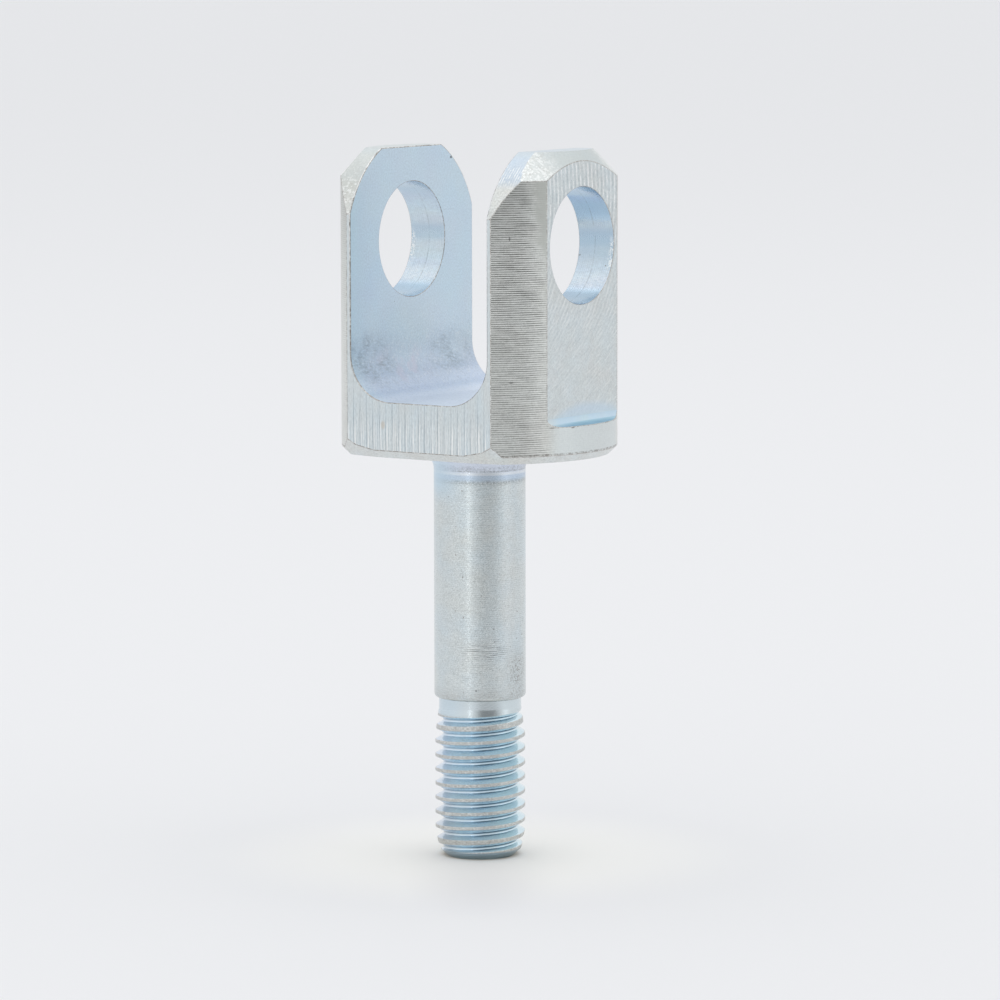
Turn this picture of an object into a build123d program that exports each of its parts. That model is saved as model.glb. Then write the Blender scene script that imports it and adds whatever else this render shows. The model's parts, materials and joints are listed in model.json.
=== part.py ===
from build123d import *
import os
from math import sqrt

# Clevis rod end, one steel piece: a turned fork head on a plain shank with a threaded end.
# Millimetres. The origin is the centre of the pin bore. The bore runs along X, the shank
# hangs down Z, and the slot opens at the top and towards -Y and +Y.

# What it mates with
pin_diameter = 10.0
pin_clearance = 0.1
eye_thickness = 14.0
eye_clearance = 0.1

# Head, with heights taken from the bore axis
head_diameter = 24.0
flat_width = 18.8
tip_height = 8.1
base_depth = 18.3
tip_chamfer_width = 2.1
tip_chamfer_height = 2.35
tip_radius = 10.0
tip_round_width = 4.84
tip_round_height = 5.49
base_chamfer = 0.65

# Facets where the front and back flats, the round and the base meet: a steep one on each
# corner, and a shallow one that leads into it
steep_facet_height = 1.51
steep_facet_rise_x = 0.53
steep_facet_rise_y = 1.92
shallow_facet_height = 1.21
shallow_facet_rise_x = 0.2
shallow_facet_rise_y = 1.07

# Milled outer flats of the ears, which stop above a full ring
ear_flat_depth = 1.35
ring_height = 3.05
ring_corner_radius = 0.7

# Slot for the mating eye
slot_depth = 13.45
slot_corner_radius = 4.0

# Shank of the thread's nominal size, neck and rolled thread M8 x 1.25, drawn at its major
# diameter. The neck is the blank that the thread was rolled on.
shank_diameter = 8.0
shank_length = 21.52
blank_allowance = 0.82
neck_length = 1.6
major_allowance = 0.13
thread_length = 12.4
thread_lead_in = 0.6
end_chamfer = 0.95
base_fillet = 1.5
shoulder_fillet = 0.35

# Worked out from the sizes above
bore_radius = (pin_diameter + pin_clearance) / 2
slot_width = eye_thickness + eye_clearance
head_radius = head_diameter / 2
head_height = tip_height + base_depth
flat_half = flat_width / 2
flat_corner_x = sqrt(head_radius**2 - flat_half**2)
tip_arc_start = tip_height - tip_round_height
tip_arc_end = flat_half - tip_round_width
ear_half_span = head_radius - ear_flat_depth
ring_top = ring_height - base_depth
shank_radius = shank_diameter / 2
shank_end = -base_depth - shank_length
neck_radius = (shank_diameter - blank_allowance) / 2
thread_radius = (shank_diameter - major_allowance) / 2
thread_start = shank_end - neck_length
thread_end = thread_start - thread_length

with BuildPart() as clevis_rod_end:
    # Turned head: a round bar with a wide chamfer at the tip and a small one at the base
    with BuildSketch(Plane.XZ):
        with BuildLine():
            Polyline(
                (0, tip_height),
                (head_radius - tip_chamfer_width, tip_height),
                (head_radius, tip_height - tip_chamfer_height),
                (head_radius, base_chamfer - base_depth),
                (head_radius - base_chamfer, -base_depth),
                (0, -base_depth),
                close=True,
            )
        make_face()
    revolve(axis=Axis.Z)

    # Side outline: front and back flats, bevelled at the base, and the rounded ear tips
    with BuildSketch(Plane.YZ):
        with BuildLine():
            right_base = (flat_half - base_chamfer, -base_depth)
            right_side = Polyline(
                right_base,
                (flat_half, base_chamfer - base_depth),
                (flat_half, tip_arc_start),
            )
            right_tip = RadiusArc(right_side @ 1, (tip_arc_end, tip_height), -tip_radius)
            mirror(about=Plane.YZ)
            Line(right_tip @ 1, (-tip_arc_end, tip_height))
            Line((-right_base[0], right_base[1]), right_base)
        make_face()
    extrude(amount=head_radius, both=True, mode=Mode.INTERSECT)

    # Corner facets: two planes at each of the four upright edges, sloping in to the base
    corner_facets = (
        (steep_facet_height, steep_facet_rise_x, steep_facet_rise_y),
        (shallow_facet_height, shallow_facet_rise_x, shallow_facet_rise_y),
    )
    for height, rise_x, rise_y in corner_facets:
        for side_x in (-1, 1):
            for side_y in (-1, 1):
                facet = Plane(
                    origin=(side_x * flat_corner_x, side_y * flat_half, height - base_depth),
                    z_dir=(side_x * rise_x, side_y * rise_y, -1),
                )
                split(bisect_by=facet, keep=Keep.BOTTOM)

    # Outer flats of the ears, ending in a radius on top of the full ring
    with BuildSketch(Plane.XZ) as ear_flat:
        with Locations((ear_half_span, ring_top)):
            Rectangle(head_diameter, head_height, align=(Align.MIN, Align.MIN))
        inner_corner = ear_flat.vertices().group_by(Axis.Y)[0].sort_by(Axis.X)[0]
        fillet(inner_corner, radius=ring_corner_radius)
        mirror(about=Plane.YZ)
    extrude(amount=head_radius, both=True, mode=Mode.SUBTRACT)

    # Slot with large corner radii at its floor
    with BuildSketch(Plane.XZ) as slot:
        with Locations((0, -slot_depth)):
            Rectangle(slot_width, slot_depth + head_height, align=(Align.CENTER, Align.MIN))
        fillet(slot.vertices().group_by(Axis.Y)[0], radius=slot_corner_radius)
    extrude(amount=head_radius, both=True, mode=Mode.SUBTRACT)

    # Pin bore, through both ears
    with Locations(Plane.YZ.offset(head_radius)):
        Hole(radius=bore_radius, depth=head_diameter)

    # Shank, neck and threaded end, turned on the head's axis. A fillet blends the shank into
    # the base of the head, and its lower edge is rounded.
    with BuildSketch(Plane.XZ) as shank_section:
        with BuildLine():
            base_blend = RadiusArc(
                (shank_radius + base_fillet, -base_depth),
                (shank_radius, -base_depth - base_fillet),
                -base_fillet,
            )
            Polyline(
                base_blend @ 1,
                (shank_radius, shank_end),
                (neck_radius, shank_end),
                (neck_radius, thread_start),
                (thread_radius, thread_start - thread_lead_in),
                (thread_radius, thread_end + end_chamfer),
                (thread_radius - end_chamfer, thread_end),
                (0, thread_end),
                (0, -base_depth),
                base_blend @ 0,
            )
        make_face()
        shoulder = shank_section.vertices().filter_by_position(
            Axis.Y, shank_end - 0.001, shank_end + 0.001
        )
        fillet(shoulder.sort_by(Axis.X)[-1], radius=shoulder_fillet)
    revolve(axis=Axis.Z)

clevis_rod_end.part.label = "clevis_rod_end"
os.makedirs("parts", exist_ok=True)
export_step(clevis_rod_end.part, "parts/clevis_rod_end.step")
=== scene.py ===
"""Clevis rod end with its finished surfaces: fork head, plain shank and rolled thread.

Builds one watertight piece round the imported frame, gives each machined region its own plated
finish, and sets up a pale studio stage. It is laid out as an add-on and run as a script.
"""
import json
from math import ceil, cos, pi, radians, sin, sqrt, tan, tau
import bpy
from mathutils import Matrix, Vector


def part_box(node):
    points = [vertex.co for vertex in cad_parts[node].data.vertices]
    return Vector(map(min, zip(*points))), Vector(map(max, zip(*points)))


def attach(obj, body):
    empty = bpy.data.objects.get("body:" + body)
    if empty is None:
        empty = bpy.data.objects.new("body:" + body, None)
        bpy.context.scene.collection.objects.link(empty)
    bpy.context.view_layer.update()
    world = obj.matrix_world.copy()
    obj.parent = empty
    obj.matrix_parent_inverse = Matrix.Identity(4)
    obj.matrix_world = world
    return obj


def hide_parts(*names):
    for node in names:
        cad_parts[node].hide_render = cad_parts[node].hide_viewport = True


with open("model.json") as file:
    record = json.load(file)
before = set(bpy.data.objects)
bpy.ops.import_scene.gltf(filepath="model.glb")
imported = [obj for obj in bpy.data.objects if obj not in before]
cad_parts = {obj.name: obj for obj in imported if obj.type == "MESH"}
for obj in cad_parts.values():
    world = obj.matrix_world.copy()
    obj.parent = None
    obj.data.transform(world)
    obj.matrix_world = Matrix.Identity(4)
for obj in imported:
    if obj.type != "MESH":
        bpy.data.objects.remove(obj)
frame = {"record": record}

from types import SimpleNamespace

import bmesh
import bpy
from bpy.props import FloatProperty, FloatVectorProperty, IntProperty, PointerProperty
from bpy.types import Operator, Panel, PropertyGroup
from mathutils import Matrix, Vector

bl_info = {
    "name": "Clevis Rod End",
    "version": (1, 0, 0),
    "blender": (4, 5, 0),
    "location": "View3D > Sidebar > Rod End",
    "description": "Builds a zinc plated clevis rod end and its studio stage",
    "category": "Object",
}

MM = 0.001
NODE = "clevis_rod_end"
BODY = "root"
PIECE = "fork_and_shank"

CAD_LOW, CAD_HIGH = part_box(NODE)
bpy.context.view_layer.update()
MOUNTS = {mount["name"]: mount for mount in frame["record"]["mounts"]}


def length(name, description, millimetres):
    """A length property, held in metres, with its default given in millimetres."""
    return FloatProperty(
        name=name, description=description, default=millimetres * MM, unit="LENGTH", precision=5
    )


def colour(name, description, default):
    """A colour property in linear light."""
    return FloatVectorProperty(
        name=name, description=description, default=default, subtype="COLOR", min=0.0, max=1.0
    )


def amount(name, description, default):
    """A plain number property."""
    return FloatProperty(name=name, description=description, default=default)


def angle(name, description, degrees):
    """An angle property, with its default given in degrees."""
    return FloatProperty(
        name=name, description=description, default=radians(degrees), subtype="ANGLE"
    )


def in_millimetres(group):
    """The group's values by name, with its lengths as plain millimetres."""
    values = {}
    for name in group.__annotations__:
        value = getattr(group, name)
        if group.bl_rna.properties[name].unit == "LENGTH":
            value = round(value / MM, 5)
        values[name] = value
    return SimpleNamespace(**values)


class HeadSizes(PropertyGroup):
    """Sizes of the turned and milled fork head, with heights from the bore's axis"""

    diameter: length("Head Diameter", "Diameter of the turned round", 2 * CAD_HIGH[0] / MM)
    flat_width: length("Flat Width", "Across the front and back flats", 2 * CAD_HIGH[1] / MM)
    tip_height: length("Tip Height", "Top of the ears above the bore", CAD_HIGH[2] / MM)
    base_depth: length(
        "Base Depth", "Underside of the head below the bore", -MOUNTS["head_base"]["pos_m"][2] / MM
    )
    bore_radius: length("Bore Radius", "Radius of the pin bore", MOUNTS["pin_bore"]["dims"]["r_mm"])
    ear_span: length(
        "Ear Span", "Across the outer flats", MOUNTS["pin_bore"]["dims"]["length_mm"]
    )
    tip_chamfer_width: length("Tip Chamfer Width", "Turned chamfer at the tips, across", 2.1)
    tip_chamfer_height: length("Tip Chamfer Height", "Turned chamfer at the tips, down", 2.35)
    tip_radius: length("Tip Radius", "Rounding of the ears, seen from the side", 10.0)
    tip_round_width: length("Tip Round Width", "Rounding of the ears, across", 4.84)
    tip_round_height: length("Tip Round Height", "Rounding of the ears, down", 5.49)
    base_chamfer: length("Base Chamfer", "Chamfer and bevels round the underside", 0.65)
    steep_height: length("Steep Facet Height", "Top of the steep corner facets above the underside", 1.51)
    shallow_height: length(
        "Shallow Facet Height", "Top of the shallow corner facets above the underside", 1.21
    )
    ring_height: length("Ring Height", "Full ring under the outer flats", 3.05)
    ring_corner_radius: length("Ring Corner", "Radius where an outer flat meets the ring", 0.7)
    slot_width: length("Slot Width", "Between the ears", 14.1)
    slot_depth: length("Slot Depth", "Slot floor below the bore's axis", 13.45)
    slot_corner_radius: length("Slot Corner", "Radius of the slot floor's corners", 4.0)
    steep_rise: FloatVectorProperty(
        name="Steep Facet Rise", size=2, default=(0.53, 1.92),
        description="Slope of the steep corner facets across and front to back, for each unit down",
    )
    shallow_rise: FloatVectorProperty(
        name="Shallow Facet Rise", size=2, default=(0.2, 1.07),
        description="Slope of the shallow corner facets across and front to back, for each unit down",
    )


class ShankSizes(PropertyGroup):
    """Sizes of the shank, neck and rolled thread"""

    radius: length("Shank Radius", "Radius of the plain shank", MOUNTS["shank"]["dims"]["r_mm"])
    end: length("Shank End", "Shoulder below the bore's axis", 39.82)
    thread_end: length("Thread End", "End face below the bore's axis", -CAD_LOW[2] / MM)
    crest_radius: length(
        "Crest Radius", "Radius of the thread's crests", MOUNTS["thread"]["dims"]["r_mm"]
    )
    root_radius: length("Root Radius", "Radius of the thread's roots", 3.25)
    neck_radius: length("Neck Radius", "Radius of the blank under the shoulder", 3.59)
    pitch: length("Pitch", "Thread pitch, right-handed", 1.25)
    crest_width: length("Crest Width", "Width of the flattened crests", 0.26)
    first_crest: length("First Crest", "Depth of the first whole crest on the +X side", 41.97)
    root_run_top: length("Root Run-out Top", "Depth at which the roots start to form", 40.9)
    root_run_length: length("Root Run-out Length", "Length over which the roots form", 0.5)
    crest_run_top: length("Crest Run-out Top", "Depth at which the crests start to form", 40.6)
    crest_run_length: length("Crest Run-out Length", "Length over which the crests form", 2.6)
    end_run_top: length("End Taper Top", "Depth at which the crests start to sink to the end", 51.6)
    end_run_length: length("End Taper Length", "Length over which the crests sink", 1.85)
    end_crest_radius: length("End Crest Radius", "Radius of the crests at the end", 3.56)
    end_chamfer: length("End Chamfer", "Chamfer on the thread's end", 0.95)
    base_fillet: length("Base Fillet", "Fillet between shank and head", 1.5)
    shoulder_radius: length("Shoulder Radius", "Rounding of the shank's lower edge", 0.35)


class EdgeSizes(PropertyGroup):
    """How far the sharp edges are broken, and how fine the mesh is"""

    slot_break: length("Slot Edge Break", "Broken edge along the slot", 0.09)
    edge_break: length("Edge Break", "Broken edge everywhere else", 0.05)
    head_weld: length("Head Weld", "Points of the head closer than this are merged", 0.02)
    sliver_weld: length("Sliver Weld", "Points this close after breaking the edges are merged", 0.004)
    thread_weld: length("Thread Weld", "Points of the thread closer than this are merged", 0.0005)
    head_columns: IntProperty(name="Head Columns", description="Faces round the head", default=296)
    thread_columns: IntProperty(
        name="Thread Columns", description="Faces round the thread", default=144
    )


class FinishLooks(PropertyGroup):
    """Colours of the plated steel"""

    zinc: colour("Zinc", "Bright zinc with little passivation", (0.665, 0.725, 0.745))
    dull_zinc: colour("Dull Zinc", "Bright zinc, greyer", (0.60, 0.65, 0.65))
    pale: colour("Pale Zinc", "Brighter, matt zinc", (0.73, 0.775, 0.78))
    olive: colour("Olive", "Zinc over coarse turning, without blue", (0.65, 0.67, 0.64))
    worn_olive: colour("Worn Olive", "The same, where the turning is faint", (0.60, 0.62, 0.585))
    bright_olive: colour("Bright Olive", "The same, brighter between deep grooves", (0.82, 0.84, 0.81))
    blue: colour("Blue Passivation", "Pale blue of the passivated zinc", (0.575, 0.72, 0.825))
    # Painted shade and dark reflections in the bores.
    bore_shade_blue: colour("Dull Blue", "Blue grey of the bores", (0.40, 0.545, 0.68))
    deep_blue: colour("Deep Blue", "Blue where the passivation is thicker", (0.44, 0.58, 0.76))
    # Lavender: violet of the passivation; over the thread's -X half it is a painted reflection.
    lavender: colour("Lavender", "Violet side of the passivation", (0.56, 0.61, 0.77))
    pale_lavender: colour("Pale Lavender", "Light violet grey", (0.69, 0.745, 0.87))
    bright_lavender: colour("Bright Lavender", "Lightest violet grey", (0.84, 0.89, 0.97))
    sky: colour("Sky", "Light blue over the foot of the outer flats", (0.57, 0.72, 0.86))
    lilac: colour("Lilac", "Rosy tinge of the passivation", (0.66, 0.60, 0.70))
    teal: colour("Teal", "Deep blue-green of thick passivation", (0.36, 0.58, 0.70))
    pale_teal: colour("Pale Teal", "Light blue-green", (0.62, 0.80, 0.84))
    flank: colour("Flank", "Thread flanks, pale blue grey", (0.735, 0.868, 0.965))
    # Painted shade on the thread flanks that face down.
    down_flank_shade: colour("Lower Flank", "Thread flanks that face down, grey-green", (0.50, 0.60, 0.60))
    hollow: colour("Hollow", "Shaded flanks next to the roots", (0.15, 0.24, 0.31))
    dull_flank: colour("Dull Flank", "Greyer flanks near the end", (0.50, 0.53, 0.56))
    crest: colour("Crest", "Matt beige crests", (0.54, 0.53, 0.50))
    end_shade: colour("End Shade", "Blue grey of the end chamfer", (0.28, 0.42, 0.55))
    warm: colour("Warm Grey", "Matt beige grey of a coarse surface", (0.67, 0.645, 0.61))
    cream: colour("Cream", "Bright plating on the tips", (0.77, 0.755, 0.71))
    sugar: colour("Sugar", "White crystalline plating", (0.90, 0.89, 0.85))
    # Bright: painted highlights on the lit flanks of tool marks, on a ring, streaks and edges; also the
    # tone of bright grains and scratches.
    bright: colour("Bright", "Bright flanks and crystals", (0.95, 0.96, 0.95))
    # White: painted highlights on the ridges of the outer flats' marks, and painted light on the left tip
    # chamfer.
    white: colour("White", "Polished ridges", (1.0, 1.0, 1.0))
    # Groove: painted shade in turned grooves, towards the tips and on the neck; also dark grains, chatter
    # and smudged rings.
    groove: colour("Groove", "Shaded bottom of a turned groove", (0.07, 0.07, 0.065))
    # Blue groove: painted shade in milled grooves and on the slot walls; also dark scratches and smudges.
    blue_groove: colour("Blue Groove", "Shaded bottom of a milled groove", (0.26, 0.32, 0.37))
    burr: colour("Burr", "Brown residue on torn edges", (0.18, 0.15, 0.13))
    rust: colour("Rust", "Tan spot of rust", (0.55, 0.44, 0.32))
    dirt: colour("Dirt", "Dark residue in pits and scratches", (0.10, 0.10, 0.10))


class StageLooks(PropertyGroup):
    """Floor, world, lamps and camera"""

    floor: colour("Floor", "Pale floor", (0.845, 0.843, 0.853))
    # Painted light on the paper round the part's foot, lifting the shadow there.
    lit_paper: colour("Pale Floor", "Paler paper round the part's foot", (0.945, 0.935, 0.91))
    # Painted warm contact shade under the part's rim.
    warm_contact_shade: colour("Contact", "Warm tinge of the floor under the part's rim", (0.88, 0.76, 0.62))
    foot_shade: colour("Foot Shade", "Soft shade on the paper before the foot", (0.885, 0.885, 0.90))
    shade_shift: length("Shade Shift", "How far before the foot the shade is centred", 13.0)
    shade_half_width: length("Shade Half Width", "Half the width of the shade", 7.5)
    shade_half_length: length("Shade Half Length", "Half the length of the shade", 20.0)
    # Reach and place of that painted light.
    lit_paper_radius: length("Pale Radius", "Reach of the paler paper", 26.0)
    lit_paper_shift: length("Pale Shift", "How far before the foot the paler paper is centred", 1.0)
    backdrop: colour("Backdrop", "What the camera sees past the floor", (0.80, 0.81, 0.83))
    walls: colour("Walls", "Light from the studio's walls", (0.97, 0.985, 1.0))
    wall_level: amount("Wall Level", "Strength of the walls at the height of the part", 0.91)
    ceiling_level: amount("Ceiling Level", "Strength of the light from straight above", 1.0)
    window_level: amount("Window Level", "Strength round the camera, where the walls are open", 0.68)
    camera_level: amount("Camera Level", "Strength of the dark figure behind the camera", 0.35)
    bounce_level: amount("Bounce Level", "Extra strength of a bright board beside the window", 0.22)
    ceiling_power: amount("Ceiling Power", "Power of the soft box overhead, in watts", 0.75)
    strip_power: amount("Strip Power", "Power of the narrow soft box, in watts", 0.062)
    floor_front: length("Floor Front", "Front edge of the floor before the part", 95.0)
    floor_turn: angle("Floor Turn", "Turn of the floor and its soft spots about the part", 33.714)
    camera_azimuth: angle("Camera Azimuth", "Direction the camera looks in, from +Y towards -X", 33.714)
    camera_pitch: angle("Camera Pitch", "How far the camera looks down", 6.471)
    camera_roll: angle("Camera Roll", "Turn of the camera about its own axis", -0.093)
    camera_place: FloatVectorProperty(
        name="Camera Place", description="Position of the camera",
        default=(0.252913, -0.375839, 0.028808), subtype="TRANSLATION", unit="LENGTH",
    )
    focal_length: FloatProperty(
        name="Focal Length", description="Lens on a 36 mm sensor, in millimetres", default=188.236
    )


# ---------------------------------------------------------------- mesh helpers

# Lengths are in millimetres until the piece is placed in the frame.
ARC_STEP = radians(6)
TIP_ARC_STEPS = 24
BORE_SEGMENTS = 128
FACET_BLOCK_SIZE = 7.0
THREAD_ANGLE = radians(60)
FLANK_STEPS = 6
ROOT_ROUNDING, CREST_ROUNDING = 0.08, 0.05
THREAD_ARC_STEP = radians(20)
SMOOTH_BELOW, THREAD_SMOOTH_BELOW = radians(28), radians(40)
UNBROKEN_BELOW = radians(14)
FLAT_BELOW = radians(0.3)
ON_PLANE = 1e-4
SOFT_PAIRS = ({"tip", "cone"}, {"ear", "foot"})


def object_of(build, name, finishes):
    """An object in the scene from a bmesh, which is freed, with its finishes."""
    mesh_data = bpy.data.meshes.new(name)
    build.to_mesh(mesh_data)
    build.free()
    for finish in finishes:
        mesh_data.materials.append(finish)
    made = bpy.data.objects.new(name, mesh_data)
    bpy.context.scene.collection.objects.link(made)
    return made


def solid(name, points, faces, finishes):
    """A closed mesh whose faces each have a finish, with the normals turned outwards."""
    build = bmesh.new()
    corners = [build.verts.new(point) for point in points]
    used = sorted(set(finishes), key=lambda finish: finish.name)
    for face, finish in zip(faces, finishes):
        build.faces.new([corners[index] for index in face]).material_index = used.index(finish)
    bmesh.ops.recalc_face_normals(build, faces=build.faces)
    return object_of(build, name, used)


def apply_modifiers(body):
    """Puts the result of the body's modifiers into its mesh."""
    graph = bpy.context.evaluated_depsgraph_get()
    result = bpy.data.meshes.new_from_object(body.evaluated_get(graph))
    body.modifiers.clear()
    old, body.data = body.data, result
    bpy.data.meshes.remove(old)


def combine(body, tool, operation):
    """Cuts, trims or joins body with tool. The tool's faces bring their own finish along."""
    step = body.modifiers.new("combine", "BOOLEAN")
    step.operation = operation
    step.solver = "EXACT"
    step.material_mode = "TRANSFER"
    step.object = tool
    apply_modifiers(body)
    bpy.data.objects.remove(tool)


def arc_points(centre, start, end, steps):
    """Points of an arc round a centre from start to end, both ends included."""
    first = start - centre
    turn = first.angle_signed(end - centre)
    return [centre + Matrix.Rotation(-turn * step / steps, 2) @ first for step in range(steps + 1)]


def rounded(corners, step_angle=ARC_STEP):
    """Rounds the corners (a, b, radius, finish) of an open path into points (a, b, finish)."""
    path = [(corners[0][0], corners[0][1], corners[0][3])]
    for before, corner, after in zip(corners, corners[1:], corners[2:]):
        here = Vector(corner[:2])
        radius, finish = corner[2:]
        if not radius:
            path.append((*here, finish))
            continue
        back = (Vector(before[:2]) - here).normalized()
        ahead = (Vector(after[:2]) - here).normalized()
        half = back.angle(ahead) / 2
        centre = here + (back + ahead).normalized() * radius / sin(half)
        start, end = here + back * radius / tan(half), here + ahead * radius / tan(half)
        steps = ceil(abs((start - centre).angle_signed(end - centre)) / step_angle)
        path += [(*point, finish) for point in arc_points(centre, start, end, steps)]
    path.append((corners[-1][0], corners[-1][1], corners[-1][3]))
    return path


def lathe(name, profile, columns):
    """A solid of revolution about Z, from points (radius, z, finish) that start and end on it."""
    points, rings = [], []
    for radius, height, _ in profile:
        count = 1 if radius == 0 else columns
        rings.append(range(len(points), len(points) + count))
        for column in range(count):
            angle = tau * column / columns
            points.append((radius * cos(angle), radius * sin(angle), height))
    faces, finishes = [], []
    for (upper, lower), (_, _, finish) in zip(zip(rings, rings[1:]), profile):
        for column in range(columns):
            beside = (column + 1) % columns
            face = [
                upper[column % len(upper)],
                lower[column % len(lower)],
                lower[beside % len(lower)],
                upper[beside % len(upper)],
            ]
            faces.append(list(dict.fromkeys(face)))
            finishes.append(finish)
    return solid(name, points, faces, finishes)


def bar(name, outline, axis, half_length):
    """A prism along X or Y, from a closed outline of points (across, z, finish)."""
    points = []
    for along in (-half_length, half_length):
        for across, height, _ in outline:
            points.append((along, across, height) if axis == "X" else (across, along, height))
    count = len(outline)
    faces = [list(range(count)), list(range(count, 2 * count))]
    finishes = [outline[0][2], outline[0][2]]
    for index, (_, _, finish) in enumerate(outline):
        beside = (index + 1) % count
        faces.append([index, beside, beside + count, index + count])
        finishes.append(finish)
    return solid(name, points, faces, finishes)


def mirrored(half_path):
    """A closed outline from its right half, whose points run from the bottom to the top."""
    finishes = [finish for _, _, finish in [half_path[-1]] + half_path[:-1]]
    left = [(-across, height, finish) for (across, height, _), finish in zip(half_path, finishes)]
    return half_path + left[::-1]


# ---------------------------------------------------------------- the piece


def turned_blank(head, shank, columns, finish):
    """The turned head on its shank, down to the shoulder above the neck."""
    radius = head.diameter / 2
    corners = [
        (0, head.tip_height, 0, finish["tip"]),
        (radius - head.tip_chamfer_width, head.tip_height, 0, finish["cone"]),
        (radius, head.tip_height - head.tip_chamfer_height, 0, finish["round"]),
        (radius, head.base_chamfer - head.base_depth, 0, finish["base"]),
        (radius - head.base_chamfer, -head.base_depth, 0, finish["base"]),
        (shank.radius, -head.base_depth, shank.base_fillet, finish["shank"]),
        (shank.radius, -shank.end, shank.shoulder_radius, finish["shank"]),
        (0, -shank.end, 0, finish["thread"]),
    ]
    return lathe(PIECE, rounded(corners), columns)


def side_outline(head, shank, finish):
    """What the front and back milling leaves, seen from the side, round the whole part."""
    flat = head.flat_width / 2
    clear = 2 * head.base_chamfer
    half = [
        (flat - clear, -shank.thread_end - clear, finish["base"]),
        (flat - clear, head.base_chamfer - head.base_depth - clear, finish["base"]),
        (flat, head.base_chamfer - head.base_depth, finish["flat"]),
    ]
    start = Vector((flat, head.tip_height - head.tip_round_height))
    end = Vector((flat - head.tip_round_width, head.tip_height))
    chord = end - start
    rise = sqrt(head.tip_radius**2 - (chord.length / 2) ** 2)
    centre = (start + end) / 2 + Vector((-chord.y, chord.x)).normalized() * rise
    tip_arc = arc_points(centre, start, end, TIP_ARC_STEPS)
    half += [(*point, finish["tip"]) for point in tip_arc]
    past_end = tip_arc[-1] + (tip_arc[-1] - tip_arc[-2])
    half.append((*past_end, finish["tip"]))
    return bar("side_outline", mirrored(half), "X", head.diameter)


def corner_facet(head, side_x, side_y, height, rise, finish):
    """A block whose face lies on one corner facet."""
    radius, flat = head.diameter / 2, head.flat_width / 2
    place = Vector((side_x * sqrt(radius**2 - flat**2), side_y * flat, height - head.base_depth))
    outward = Vector((side_x * rise[0], side_y * rise[1], -1)).normalized()
    turn = outward.to_track_quat("Z", "X").to_matrix().to_4x4()
    shift = Matrix.Translation(place + outward * FACET_BLOCK_SIZE / 2)
    block = bmesh.new()
    bmesh.ops.create_cube(block, size=FACET_BLOCK_SIZE, matrix=shift @ turn)
    return object_of(block, "corner_facet", [finish["base"]])


def ear_flat_cutter(head, side, finish):
    """The cut that leaves one outer flat, with a radius on top of the ring."""
    inner, outer = side * head.ear_span / 2, side * head.diameter
    ring_top = head.ring_height - head.base_depth
    corners = [
        (inner, head.diameter, 0, finish["ear"]),
        (inner, ring_top, head.ring_corner_radius, finish["foot"]),
        (outer, ring_top, 0, finish["ear"]),
        (outer, head.diameter, 0, finish["ear"]),
    ]
    return bar("ear_flat", rounded(corners), "Y", head.diameter)


def slot_cutter(head, finish):
    """The slot with its large corner radii."""
    half = head.slot_width / 2
    levels = ((half, head.diameter, 0), (half, -head.slot_depth, head.slot_corner_radius),
              (-half, -head.slot_depth, head.slot_corner_radius), (-half, head.diameter, 0))
    corners = [(*level, finish["slot"]) for level in levels]
    return bar("slot", rounded(corners), "Y", head.diameter)


def bore_cutter(head, finish):
    """The pin bore through both ears."""
    outline = []
    for index in range(BORE_SEGMENTS):
        angle = tau * (index + 0.5) / BORE_SEGMENTS
        outline.append((head.bore_radius * cos(angle), head.bore_radius * sin(angle), finish["bore"]))
    return bar("bore", outline, "X", head.diameter)


def held(value):
    """A value kept between 0 and 1."""
    return min(1.0, max(0.0, value))


def thread_profile(shank, finish):
    """One pitch of the thread, from root to root, as (z, radius) points with rounded corners."""
    height = shank.crest_radius - shank.root_radius
    flank = height * tan(THREAD_ANGLE / 2)
    crest = shank.crest_width / 2
    root = shank.pitch / 2
    rising = []
    for step in range(1, FLANK_STEPS):
        share = step / FLANK_STEPS
        rising.append((crest + flank * (1 - share), shank.root_radius + height * share))
    corners = [
        (-root, shank.root_radius, 0, finish),
        (-crest - flank, shank.root_radius, ROOT_ROUNDING, finish),
        *((-along, radius, 0, finish) for along, radius in rising),
        (-crest, shank.crest_radius, CREST_ROUNDING, finish),
        (crest, shank.crest_radius, CREST_ROUNDING, finish),
        *((along, radius, 0, finish) for along, radius in reversed(rising)),
        (crest + flank, shank.root_radius, ROOT_ROUNDING, finish),
        (root, shank.root_radius, 0, finish),
    ]
    return [(along, radius) for along, radius, _ in rounded(corners, THREAD_ARC_STEP)][:-1]


def formed_radius(shank, radius, height):
    """A profile radius as it is at a height, between the run-out at the neck and the end taper."""
    start = held((-shank.root_run_top - height) / shank.root_run_length)
    eased = start * start * (3 - 2 * start)
    root = shank.neck_radius + (radius - shank.neck_radius) * eased
    formed = held((-shank.crest_run_top - height) / shank.crest_run_length)
    crest_top = shank.neck_radius + (shank.crest_radius - shank.neck_radius) * formed
    sunk = held((-shank.end_run_top - height) / shank.end_run_length)
    end_top = shank.crest_radius + (shank.end_crest_radius - shank.crest_radius) * sunk
    return min(root if radius < shank.neck_radius else min(radius, crest_top), end_top)


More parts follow.
